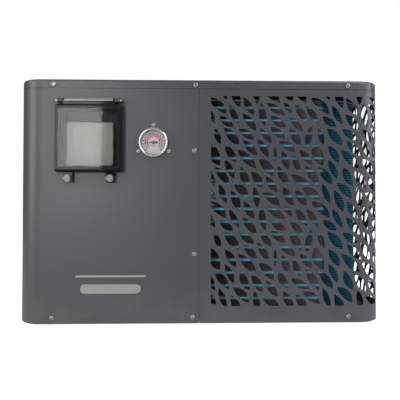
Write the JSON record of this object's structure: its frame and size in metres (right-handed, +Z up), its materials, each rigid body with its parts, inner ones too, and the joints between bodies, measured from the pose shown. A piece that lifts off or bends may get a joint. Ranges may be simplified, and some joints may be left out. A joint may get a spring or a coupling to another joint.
{
  "type": "heat pump unit",
  "caption": "Box-shaped pool heat pump with rounded corners, a leaf-pattern air grille, a hinged control window, a pressure gauge, a rear fan and water unions.",
  "frame": {"origin": "bottom centre of the whole unit's box, on the surface that it stands on", "axes": "+Z up, the front faces -Y, +X to the right seen from the front"},
  "size_m": [0.7648, 0.44, 0.505],
  "materials": {
    "casing_paint": "satin anthracite powder coat",
    "galvanised_steel": "galvanised sheet",
    "stainless_steel": "stainless fasteners",
    "fin_coating": "blue hydrophilic-coated aluminium fins",
    "copper": "drawn copper tube",
    "compressor_paint": "black semi-gloss paint on steel",
    "black_plastic": "textured black plastic",
    "smoked_window": "smoked glossy polycarbonate",
    "controller_plastic": "satin grey-black plastic",
    "screen_glass": "dark display glass",
    "grey_plastic": "grey moulded plastic",
    "chrome": "polished",
    "dial_white": "printed dial plate",
    "needle_black": "matt black pointer",
    "gauge_glass": "clear",
    "rubber": "black rubber",
    "pvc_white": "white uPVC",
    "pvc_grey": "grey uPVC",
    "titanium": "titanium tube",
    "circuit_green": "solder-masked board",
    "brass": "machined brass"
  },
  "bodies": {
    "cabinet": {"base_pan": "casing_paint", "base_rails": "galvanised_steel", "drain_spout": "black_plastic", "top_cover": "casing_paint", "control_panel": "casing_paint", "grille_panel": "casing_paint", "rear_service_panel": "casing_paint", "rear_fan_panel": "casing_paint", "divider_panel": "galvanised_steel", "casing_screws": "stainless_steel", "evaporator_fins": "fin_coating", "evaporator_tubes": "copper", "evaporator_end_plates": "galvanised_steel", "coil_header": "copper", "fan_motor": "compressor_paint", "fan_motor_bracket": "galvanised_steel", "fan_shroud": "black_plastic", "fan_guard": "casing_paint", "compressor": "compressor_paint", "compressor_grommets": "rubber", "compressor_bolts": "stainless_steel", "accumulator": "compressor_paint", "four_way_valve": "brass", "four_way_valve_coil": "black_plastic", "expansion_valve": "brass", "filter_drier": "copper", "refrigerant_pipes": "copper", "heat_exchanger_shell": "pvc_grey", "heat_exchanger_caps": "pvc_grey", "titanium_coil": "titanium", "water_inlet_pipe": "pvc_white", "inlet_union_tail": "pvc_white", "water_outlet_pipe": "pvc_white", "outlet_union_tail": "pvc_white", "flow_switch": "black_plastic", "electrical_box": "galvanised_steel", "electrical_box_lid": "galvanised_steel", "main_circuit_board": "circuit_green", "terminal_block": "black_plastic", "cable_glands": "black_plastic", "control_box_base": "black_plastic", "control_box_gasket": "rubber", "lid_hinge_pin": "stainless_steel", "controller_body": "controller_plastic", "controller_screen": "screen_glass", "gauge_case": "chrome", "gauge_bezel": "chrome", "gauge_dial": "dial_white", "gauge_lens": "gauge_glass", "gauge_screws": "stainless_steel", "nameplate": "chrome"},
    "fan": {"fan_shaft": "stainless_steel", "fan_blade": "black_plastic", "fan_hub_nut": "stainless_steel"},
    "lid": {"control_lid": "smoked_window"},
    "left_latch": {"latch_left": "grey_plastic"},
    "right_latch": {"latch_right": "grey_plastic"},
    "needle": {"gauge_needle": "needle_black"},
    "inlet_nut": {"inlet_union_nut": "pvc_grey"},
    "outlet_nut": {"outlet_union_nut": "pvc_grey"}
  },
  "joints": [
    {"name": "fan_spin", "type": "hinge", "parent": "cabinet", "child": "fan", "pos_m": [0.174, 0.1, 0.252], "axis": [0, 1, 0], "continuous": true},
    {"name": "lid_hinge", "type": "hinge", "parent": "cabinet", "child": "lid", "pos_m": [-0.229, -0.203, 0.459], "axis": [-1, 0, 0], "range_deg": [0, 110]},
    {"name": "left_latch_turn", "type": "hinge", "parent": "lid", "child": "left_latch", "pos_m": [-0.272, -0.2, 0.301], "axis": [0, 1, 0], "range_deg": [0, 90]},
    {"name": "right_latch_turn", "type": "hinge", "parent": "lid", "child": "right_latch", "pos_m": [-0.186, -0.2, 0.301], "axis": [0, 1, 0], "range_deg": [0, 90]},
    {"name": "gauge_needle_turn", "type": "hinge", "parent": "cabinet", "child": "needle", "pos_m": [-0.099, -0.192, 0.375], "axis": [0, 1, 0], "range_deg": [-45, 225], "stiffness_Nm_per_rad": 0.001},
    {"name": "inlet_nut_turn", "type": "hinge", "parent": "cabinet", "child": "inlet_nut", "pos_m": [-0.29, 0.188, 0.112], "axis": [0, 1, 0], "continuous": true},
    {"name": "outlet_nut_turn", "type": "hinge", "parent": "cabinet", "child": "outlet_nut", "pos_m": [-0.29, 0.188, 0.372], "axis": [0, 1, 0], "continuous": true}
  ]
}
